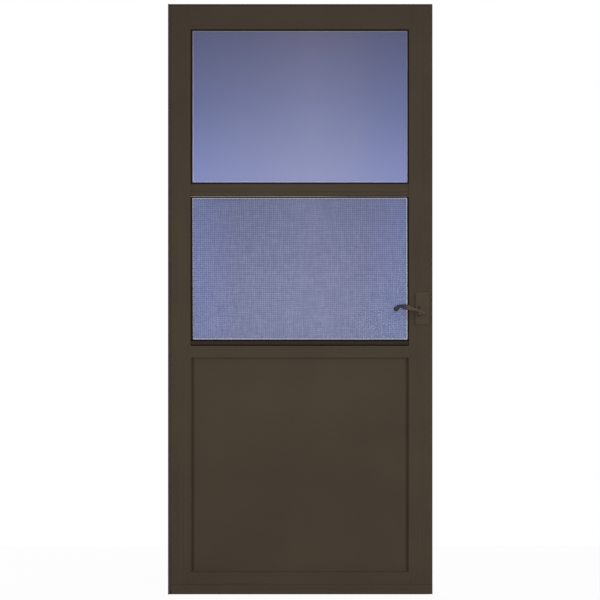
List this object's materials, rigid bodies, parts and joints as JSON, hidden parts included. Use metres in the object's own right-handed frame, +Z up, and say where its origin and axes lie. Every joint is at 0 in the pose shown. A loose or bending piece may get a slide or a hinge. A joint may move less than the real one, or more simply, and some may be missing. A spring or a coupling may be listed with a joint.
{
  "type": "aluminium storm door",
  "caption": "Self-storing aluminium storm door with fixed upper glass, insect screen over a sliding sash, recessed kick panel and lever handle, hung in rails on a continuous hinge.",
  "frame": {"origin": "foot of the hinge rail's mounting face, level with the outside face of the door leaf", "axes": "+X to the right as the door is seen from outside, +Y inwards through the door, +Z up"},
  "size_m": [0.914, 0.1184, 2.042],
  "materials": {
    "bronze_paint": "baked brown paint on extruded aluminium, satin",
    "dark_paint": "dark brown paint on roll-formed aluminium, satin",
    "bronze_casting": "brown paint on die casting, satin",
    "window_glass": "clear float glass",
    "black_vinyl": "black extruded vinyl, matte",
    "grey_vinyl": "pale grey vinyl cord, matte",
    "black_plastic": "black moulded plastic, satin",
    "pile_seal": "grey woven pile",
    "screen_cloth": "woven fibreglass insect screen",
    "plated_steel": "zinc-plated steel"
  },
  "bodies": {
    "frame": {"hinge_rail": "bronze_paint", "hinge_stop": "bronze_paint", "latch_rail": "bronze_paint", "latch_stop": "bronze_paint", "head_rail": "bronze_paint", "head_stop": "bronze_paint", "hinge_side_seal": "pile_seal", "latch_side_seal": "pile_seal", "head_seal": "pile_seal", "strike_plate": "plated_steel", "hinge_frame_leaf": "bronze_paint", "hinge_pin": "plated_steel"},
    "leaf": {"hinge_door_leaf": "bronze_paint", "hinge_stile": "bronze_paint", "latch_stile": "bronze_paint", "top_rail": "bronze_paint", "lock_rail": "bronze_paint", "bottom_rail": "bronze_paint", "bottom_expander": "bronze_paint", "bottom_sweep": "black_vinyl", "upper_glass": "window_glass", "glass_gasket": "black_vinyl", "meeting_rail": "bronze_paint", "screen_frame": "dark_paint", "insect_screen": "screen_cloth", "screen_spline": "grey_vinyl", "sash_frame": "bronze_paint", "sash_glass": "window_glass", "sash_latches": "black_plastic", "kick_panel": "bronze_paint", "panel_bead": "bronze_paint", "exterior_plate": "bronze_casting", "interior_plate": "bronze_casting", "latch_faceplate": "plated_steel", "latch_bolt": "plated_steel"},
    "lever": {"exterior_lever": "bronze_casting", "interior_lever": "bronze_casting", "lever_spindle": "plated_steel"}
  },
  "joints": [
    {"name": "door_swing", "type": "hinge", "parent": "frame", "child": "leaf", "pos_m": [0.0051, -0.003, 1.018], "axis": [0, 0, -1], "range_deg": [0, 110]},
    {"name": "lever_turn", "type": "hinge", "parent": "leaf", "child": "lever", "pos_m": [0.871, 0.016, 0.9775], "axis": [0, -1, 0], "range_deg": [0, 35], "stiffness_Nm_per_rad": 1, "springref_deg": -20.05}
  ]
}
